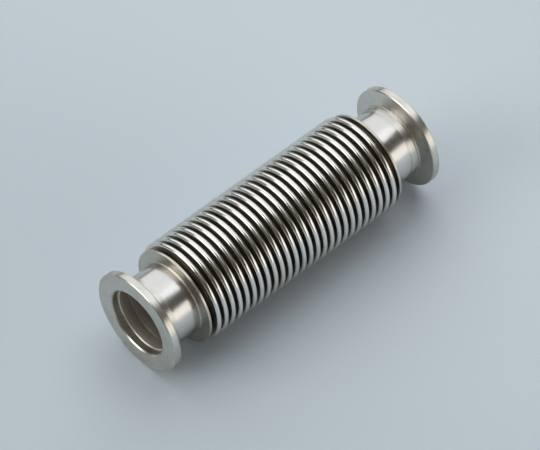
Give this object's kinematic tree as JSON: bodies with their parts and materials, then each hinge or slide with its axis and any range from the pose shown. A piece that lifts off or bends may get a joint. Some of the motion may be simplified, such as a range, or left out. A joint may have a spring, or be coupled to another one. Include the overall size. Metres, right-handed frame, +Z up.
{
  "type": "metal bellows expansion joint",
  "caption": "Thin-walled steel bellows with close, deep convolutions between two short necks, each ending in a tapered quick-clamp flange with a centring recess.",
  "frame": {"origin": "on the joint's axis, half-way between the two sealing faces", "axes": "+X runs along the joint from the near flange to the far flange, +Z is up, and the joint bends in the XY plane"},
  "size_m": [0.127, 0.04, 0.04],
  "materials": {
    "flange_steel": "fine turned, bright",
    "tube_steel": "polished tube",
    "ring_steel": "flat turned disc",
    "membrane_steel": "bright formed sheet"
  },
  "bodies": {
    "near_end": {"near_flange": "flange_steel", "near_neck_tube": "tube_steel", "near_end_ring": "ring_steel"},
    "root_00": {"root_00": "membrane_steel"},
    "crest_01": {"crest_01": "membrane_steel"},
    "root_01": {"root_01": "membrane_steel"},
    "crest_02": {"crest_02": "membrane_steel"},
    "root_02": {"root_02": "membrane_steel"},
    "crest_03": {"crest_03": "membrane_steel"},
    "root_03": {"root_03": "membrane_steel"},
    "crest_04": {"crest_04": "membrane_steel"},
    "root_04": {"root_04": "membrane_steel"},
    "crest_05": {"crest_05": "membrane_steel"},
    "root_05": {"root_05": "membrane_steel"},
    "crest_06": {"crest_06": "membrane_steel"},
    "root_06": {"root_06": "membrane_steel"},
    "crest_07": {"crest_07": "membrane_steel"},
    "root_07": {"root_07": "membrane_steel"},
    "crest_08": {"crest_08": "membrane_steel"},
    "root_08": {"root_08": "membrane_steel"},
    "crest_09": {"crest_09": "membrane_steel"},
    "root_09": {"root_09": "membrane_steel"},
    "crest_10": {"crest_10": "membrane_steel"},
    "root_10": {"root_10": "membrane_steel"},
    "crest_11": {"crest_11": "membrane_steel"},
    "root_11": {"root_11": "membrane_steel"},
    "crest_12": {"crest_12": "membrane_steel"},
    "root_12": {"root_12": "membrane_steel"},
    "crest_13": {"crest_13": "membrane_steel"},
    "crest_14": {"root_13": "membrane_steel", "crest_14": "membrane_steel"},
    "root_14": {"root_14": "membrane_steel"},
    "crest_15": {"crest_15": "membrane_steel"},
    "root_15": {"root_15": "membrane_steel"},
    "crest_16": {"crest_16": "membrane_steel"},
    "root_16": {"root_16": "membrane_steel"},
    "crest_17": {"crest_17": "membrane_steel"},
    "root_17": {"root_17": "membrane_steel"},
    "crest_18": {"crest_18": "membrane_steel"},
    "root_18": {"root_18": "membrane_steel"},
    "crest_19": {"crest_19": "membrane_steel"},
    "root_19": {"root_19": "membrane_steel"},
    "crest_20": {"crest_20": "membrane_steel"},
    "root_20": {"root_20": "membrane_steel"},
    "crest_21": {"crest_21": "membrane_steel"},
    "root_21": {"root_21": "membrane_steel"},
    "crest_22": {"crest_22": "membrane_steel"},
    "root_22": {"root_22": "membrane_steel"},
    "crest_23": {"crest_23": "membrane_steel"},
    "root_23": {"root_23": "membrane_steel"},
    "crest_24": {"crest_24": "membrane_steel"},
    "root_24": {"root_24": "membrane_steel"},
    "crest_25": {"crest_25": "membrane_steel"},
    "root_25": {"root_25": "membrane_steel"},
    "crest_26": {"crest_26": "membrane_steel"},
    "root_26": {"root_26": "membrane_steel"},
    "far_end": {"far_end_ring": "ring_steel", "far_neck_tube": "tube_steel", "far_flange": "flange_steel"}
  },
  "joints": [
    {"name": "stretch_00", "type": "slide", "parent": "near_end", "child": "root_00", "axis": [1, 0, 0], "range_m": [-0.00067, 0.00044], "stiffness_N_per_m": 20000, "deforming": ["root_00"]},
    {"name": "flex_00", "type": "hinge", "parent": "root_00", "child": "crest_01", "pos_m": [-0.04398, 0, 0], "axis": [0, 0, 1], "range_deg": [-1.15, 1.15], "stiffness_Nm_per_rad": 19},
    {"name": "stretch_01", "type": "slide", "parent": "crest_01", "child": "root_01", "axis": [1, 0, 0], "range_m": [-0.00067, 0.00044], "stiffness_N_per_m": 20000, "deforming": ["root_01"]},
    {"name": "flex_01", "type": "hinge", "parent": "root_01", "child": "crest_02", "pos_m": [-0.04032, 0, 0], "axis": [0, 0, 1], "range_deg": [-1.15, 1.15], "stiffness_Nm_per_rad": 19},
    {"name": "stretch_02", "type": "slide", "parent": "crest_02", "child": "root_02", "axis": [1, 0, 0], "range_m": [-0.00067, 0.00044], "stiffness_N_per_m": 20000, "deforming": ["root_02"]},
    {"name": "flex_02", "type": "hinge", "parent": "root_02", "child": "crest_03", "pos_m": [-0.03696, 0, 0], "axis": [0, 0, 1], "range_deg": [-1.15, 1.15], "stiffness_Nm_per_rad": 19},
    {"name": "stretch_03", "type": "slide", "parent": "crest_03", "child": "root_03", "axis": [1, 0, 0], "range_m": [-0.00067, 0.00044], "stiffness_N_per_m": 20000, "deforming": ["root_03"]},
    {"name": "flex_03", "type": "hinge", "parent": "root_03", "child": "crest_04", "pos_m": [-0.0336, 0, 0], "axis": [0, 0, 1], "range_deg": [-1.15, 1.15], "stiffness_Nm_per_rad": 19},
    {"name": "stretch_04", "type": "slide", "parent": "crest_04", "child": "root_04", "axis": [1, 0, 0], "range_m": [-0.00067, 0.00044], "stiffness_N_per_m": 20000, "deforming": ["root_04"]},
    {"name": "flex_04", "type": "hinge", "parent": "root_04", "child": "crest_05", "pos_m": [-0.03024, 0, 0], "axis": [0, 0, 1], "range_deg": [-1.15, 1.15], "stiffness_Nm_per_rad": 19},
    {"name": "stretch_05", "type": "slide", "parent": "crest_05", "child": "root_05", "axis": [1, 0, 0], "range_m": [-0.00067, 0.00044], "stiffness_N_per_m": 20000, "deforming": ["root_05"]},
    {"name": "flex_05", "type": "hinge", "parent": "root_05", "child": "crest_06", "pos_m": [-0.02688, 0, 0], "axis": [0, 0, 1], "range_deg": [-1.15, 1.15], "stiffness_Nm_per_rad": 19},
    {"name": "stretch_06", "type": "slide", "parent": "crest_06", "child": "root_06", "axis": [1, 0, 0], "range_m": [-0.00067, 0.00044], "stiffness_N_per_m": 20000, "deforming": ["root_06"]},
    {"name": "flex_06", "type": "hinge", "parent": "root_06", "child": "crest_07", "pos_m": [-0.02352, 0, 0], "axis": [0, 0, 1], "range_deg": [-1.15, 1.15], "stiffness_Nm_per_rad": 19},
    {"name": "stretch_07", "type": "slide", "parent": "crest_07", "child": "root_07", "axis": [1, 0, 0], "range_m": [-0.00067, 0.00044], "stiffness_N_per_m": 20000, "deforming": ["root_07"]},
    {"name": "flex_07", "type": "hinge", "parent": "root_07", "child": "crest_08", "pos_m": [-0.02016, 0, 0], "axis": [0, 0, 1], "range_deg": [-1.15, 1.15], "stiffness_Nm_per_rad": 19},
    {"name": "stretch_08", "type": "slide", "parent": "crest_08", "child": "root_08", "axis": [1, 0, 0], "range_m": [-0.00067, 0.00044], "stiffness_N_per_m": 20000, "deforming": ["root_08"]},
    {"name": "flex_08", "type": "hinge", "parent": "root_08", "child": "crest_09", "pos_m": [-0.0168, 0, 0], "axis": [0, 0, 1], "range_deg": [-1.15, 1.15], "stiffness_Nm_per_rad": 19},
    {"name": "stretch_09", "type": "slide", "parent": "crest_09", "child": "root_09", "axis": [1, 0, 0], "range_m": [-0.00067, 0.00044], "stiffness_N_per_m": 20000, "deforming": ["root_09"]},
    {"name": "flex_09", "type": "hinge", "parent": "root_09", "child": "crest_10", "pos_m": [-0.01344, 0, 0], "axis": [0, 0, 1], "range_deg": [-1.15, 1.15], "stiffness_Nm_per_rad": 19},
    {"name": "stretch_10", "type": "slide", "parent": "crest_10", "child": "root_10", "axis": [1, 0, 0], "range_m": [-0.00067, 0.00044], "stiffness_N_per_m": 20000, "deforming": ["root_10"]},
    {"name": "flex_10", "type": "hinge", "parent": "root_10", "child": "crest_11", "pos_m": [-0.01008, 0, 0], "axis": [0, 0, 1], "range_deg": [-1.15, 1.15], "stiffness_Nm_per_rad": 19},
    {"name": "stretch_11", "type": "slide", "parent": "crest_11", "child": "root_11", "axis": [1, 0, 0], "range_m": [-0.00067, 0.00044], "stiffness_N_per_m": 20000, "deforming": ["root_11"]},
    {"name": "flex_11", "type": "hinge", "parent": "root_11", "child": "crest_12", "pos_m": [-0.00672, 0, 0], "axis": [0, 0, 1], "range_deg": [-1.15, 1.15], "stiffness_Nm_per_rad": 19},
    {"name": "stretch_12", "type": "slide", "parent": "crest_12", "child": "root_12", "axis": [1, 0, 0], "range_m": [-0.00067, 0.00044], "stiffness_N_per_m": 20000, "deforming": ["root_12"]},
    {"name": "flex_12", "type": "hinge", "parent": "root_12", "child": "crest_13", "pos_m": [-0.00336, 0, 0], "axis": [0, 0, 1], "range_deg": [-1.15, 1.15], "stiffness_Nm_per_rad": 19},
    {"name": "stretch_13", "type": "slide", "parent": "crest_13", "child": "crest_14", "axis": [1, 0, 0], "range_m": [-0.00067, 0.00044], "stiffness_N_per_m": 20000, "deforming": ["root_13"]},
    {"name": "stretch_14", "type": "slide", "parent": "crest_14", "child": "root_14", "axis": [1, 0, 0], "range_m": [-0.00067, 0.00044], "stiffness_N_per_m": 20000, "deforming": ["root_14"]},
    {"name": "flex_14", "type": "hinge", "parent": "root_14", "child": "crest_15", "pos_m": [0.00336, 0, 0], "axis": [0, 0, 1], "range_deg": [-1.15, 1.15], "stiffness_Nm_per_rad": 19},
    {"name": "stretch_15", "type": "slide", "parent": "crest_15", "child": "root_15", "axis": [1, 0, 0], "range_m": [-0.00067, 0.00044], "stiffness_N_per_m": 20000, "deforming": ["root_15"]},
    {"name": "flex_15", "type": "hinge", "parent": "root_15", "child": "crest_16", "pos_m": [0.00672, 0, 0], "axis": [0, 0, 1], "range_deg": [-1.15, 1.15], "stiffness_Nm_per_rad": 19},
    {"name": "stretch_16", "type": "slide", "parent": "crest_16", "child": "root_16", "axis": [1, 0, 0], "range_m": [-0.00067, 0.00044], "stiffness_N_per_m": 20000, "deforming": ["root_16"]},
    {"name": "flex_16", "type": "hinge", "parent": "root_16", "child": "crest_17", "pos_m": [0.01008, 0, 0], "axis": [0, 0, 1], "range_deg": [-1.15, 1.15], "stiffness_Nm_per_rad": 19},
    {"name": "stretch_17", "type": "slide", "parent": "crest_17", "child": "root_17", "axis": [1, 0, 0], "range_m": [-0.00067, 0.00044], "stiffness_N_per_m": 20000, "deforming": ["root_17"]},
    {"name": "flex_17", "type": "hinge", "parent": "root_17", "child": "crest_18", "pos_m": [0.01344, 0, 0], "axis": [0, 0, 1], "range_deg": [-1.15, 1.15], "stiffness_Nm_per_rad": 19},
    {"name": "stretch_18", "type": "slide", "parent": "crest_18", "child": "root_18", "axis": [1, 0, 0], "range_m": [-0.00067, 0.00044], "stiffness_N_per_m": 20000, "deforming": ["root_18"]},
    {"name": "flex_18", "type": "hinge", "parent": "root_18", "child": "crest_19", "pos_m": [0.0168, 0, 0], "axis": [0, 0, 1], "range_deg": [-1.15, 1.15], "stiffness_Nm_per_rad": 19},
    {"name": "stretch_19", "type": "slide", "parent": "crest_19", "child": "root_19", "axis": [1, 0, 0], "range_m": [-0.00067, 0.00044], "stiffness_N_per_m": 20000, "deforming": ["root_19"]},
    {"name": "flex_19", "type": "hinge", "parent": "root_19", "child": "crest_20", "pos_m": [0.02016, 0, 0], "axis": [0, 0, 1], "range_deg": [-1.15, 1.15], "stiffness_Nm_per_rad": 19},
    {"name": "stretch_20", "type": "slide", "parent": "crest_20", "child": "root_20", "axis": [1, 0, 0], "range_m": [-0.00067, 0.00044], "stiffness_N_per_m": 20000, "deforming": ["root_20"]},
    {"name": "flex_20", "type": "hinge", "parent": "root_20", "child": "crest_21", "pos_m": [0.02352, 0, 0], "axis": [0, 0, 1], "range_deg": [-1.15, 1.15], "stiffness_Nm_per_rad": 19},
    {"name": "stretch_21", "type": "slide", "parent": "crest_21", "child": "root_21", "axis": [1, 0, 0], "range_m": [-0.00067, 0.00044], "stiffness_N_per_m": 20000, "deforming": ["root_21"]},
    {"name": "flex_21", "type": "hinge", "parent": "root_21", "child": "crest_22", "pos_m": [0.02688, 0, 0], "axis": [0, 0, 1], "range_deg": [-1.15, 1.15], "stiffness_Nm_per_rad": 19},
    {"name": "stretch_22", "type": "slide", "parent": "crest_22", "child": "root_22", "axis": [1, 0, 0], "range_m": [-0.00067, 0.00044], "stiffness_N_per_m": 20000, "deforming": ["root_22"]},
    {"name": "flex_22", "type": "hinge", "parent": "root_22", "child": "crest_23", "pos_m": [0.03024, 0, 0], "axis": [0, 0, 1], "range_deg": [-1.15, 1.15], "stiffness_Nm_per_rad": 19},
    {"name": "stretch_23", "type": "slide", "parent": "crest_23", "child": "root_23", "axis": [1, 0, 0], "range_m": [-0.00067, 0.00044], "stiffness_N_per_m": 20000, "deforming": ["root_23"]},
    {"name": "flex_23", "type": "hinge", "parent": "root_23", "child": "crest_24", "pos_m": [0.0336, 0, 0], "axis": [0, 0, 1], "range_deg": [-1.15, 1.15], "stiffness_Nm_per_rad": 19},
    {"name": "stretch_24", "type": "slide", "parent": "crest_24", "child": "root_24", "axis": [1, 0, 0], "range_m": [-0.00067, 0.00044], "stiffness_N_per_m": 20000, "deforming": ["root_24"]},
    {"name": "flex_24", "type": "hinge", "parent": "root_24", "child": "crest_25", "pos_m": [0.03696, 0, 0], "axis": [0, 0, 1], "range_deg": [-1.15, 1.15], "stiffness_Nm_per_rad": 19},
    {"name": "stretch_25", "type": "slide", "parent": "crest_25", "child": "root_25", "axis": [1, 0, 0], "range_m": [-0.00067, 0.00044], "stiffness_N_per_m": 20000, "deforming": ["root_25"]},
    {"name": "flex_25", "type": "hinge", "parent": "root_25", "child": "crest_26", "pos_m": [0.04032, 0, 0], "axis": [0, 0, 1], "range_deg": [-1.15, 1.15], "stiffness_Nm_per_rad": 19},
    {"name": "stretch_26", "type": "slide", "parent": "crest_26", "child": "root_26", "axis": [1, 0, 0], "range_m": [-0.00067, 0.00044], "stiffness_N_per_m": 20000, "deforming": ["root_26"]},
    {"name": "flex_26", "type": "hinge", "parent": "root_26", "child": "far_end", "pos_m": [0.04398, 0, 0], "axis": [0, 0, 1], "range_deg": [-1.15, 1.15], "stiffness_Nm_per_rad": 19}
  ],
  "couplings": [
    {"joint": "stretch_01", "follows": "stretch_00", "ratio": 1},
    {"joint": "flex_01", "follows": "flex_00", "ratio": 1},
    {"joint": "stretch_02", "follows": "stretch_00", "ratio": 1},
    {"joint": "flex_02", "follows": "flex_00", "ratio": 1},
    {"joint": "stretch_03", "follows": "stretch_00", "ratio": 1},
    {"joint": "flex_03", "follows": "flex_00", "ratio": 1},
    {"joint": "stretch_04", "follows": "stretch_00", "ratio": 1},
    {"joint": "flex_04", "follows": "flex_00", "ratio": 1},
    {"joint": "stretch_05", "follows": "stretch_00", "ratio": 1},
    {"joint": "flex_05", "follows": "flex_00", "ratio": 1},
    {"joint": "stretch_06", "follows": "stretch_00", "ratio": 1},
    {"joint": "flex_06", "follows": "flex_00", "ratio": 1},
    {"joint": "stretch_07", "follows": "stretch_00", "ratio": 1},
    {"joint": "flex_07", "follows": "flex_00", "ratio": 1},
    {"joint": "stretch_08", "follows": "stretch_00", "ratio": 1},
    {"joint": "flex_08", "follows": "flex_00", "ratio": 1},
    {"joint": "stretch_09", "follows": "stretch_00", "ratio": 1},
    {"joint": "flex_09", "follows": "flex_00", "ratio": 1},
    {"joint": "stretch_10", "follows": "stretch_00", "ratio": 1},
    {"joint": "flex_10", "follows": "flex_00", "ratio": 1},
    {"joint": "stretch_11", "follows": "stretch_00", "ratio": 1},
    {"joint": "flex_11", "follows": "flex_00", "ratio": 1},
    {"joint": "stretch_12", "follows": "stretch_00", "ratio": 1},
    {"joint": "flex_12", "follows": "flex_00", "ratio": 1},
    {"joint": "stretch_13", "follows": "stretch_00", "ratio": 1},
    {"joint": "stretch_14", "follows": "stretch_00", "ratio": 1},
    {"joint": "stretch_15", "follows": "stretch_00", "ratio": 1},
    {"joint": "flex_15", "follows": "flex_14", "ratio": 1},
    {"joint": "stretch_16", "follows": "stretch_00", "ratio": 1},
    {"joint": "flex_16", "follows": "flex_14", "ratio": 1},
    {"joint": "stretch_17", "follows": "stretch_00", "ratio": 1},
    {"joint": "flex_17", "follows": "flex_14", "ratio": 1},
    {"joint": "stretch_18", "follows": "stretch_00", "ratio": 1},
    {"joint": "flex_18", "follows": "flex_14", "ratio": 1},
    {"joint": "stretch_19", "follows": "stretch_00", "ratio": 1},
    {"joint": "flex_19", "follows": "flex_14", "ratio": 1},
    {"joint": "stretch_20", "follows": "stretch_00", "ratio": 1},
    {"joint": "flex_20", "follows": "flex_14", "ratio": 1},
    {"joint": "stretch_21", "follows": "stretch_00", "ratio": 1},
    {"joint": "flex_21", "follows": "flex_14", "ratio": 1},
    {"joint": "stretch_22", "follows": "stretch_00", "ratio": 1},
    {"joint": "flex_22", "follows": "flex_14", "ratio": 1},
    {"joint": "stretch_23", "follows": "stretch_00", "ratio": 1},
    {"joint": "flex_23", "follows": "flex_14", "ratio": 1},
    {"joint": "stretch_24", "follows": "stretch_00", "ratio": 1},
    {"joint": "flex_24", "follows": "flex_14", "ratio": 1},
    {"joint": "stretch_25", "follows": "stretch_00", "ratio": 1},
    {"joint": "flex_25", "follows": "flex_14", "ratio": 1},
    {"joint": "stretch_26", "follows": "stretch_00", "ratio": 1},
    {"joint": "flex_26", "follows": "flex_14", "ratio": 1}
  ]
}
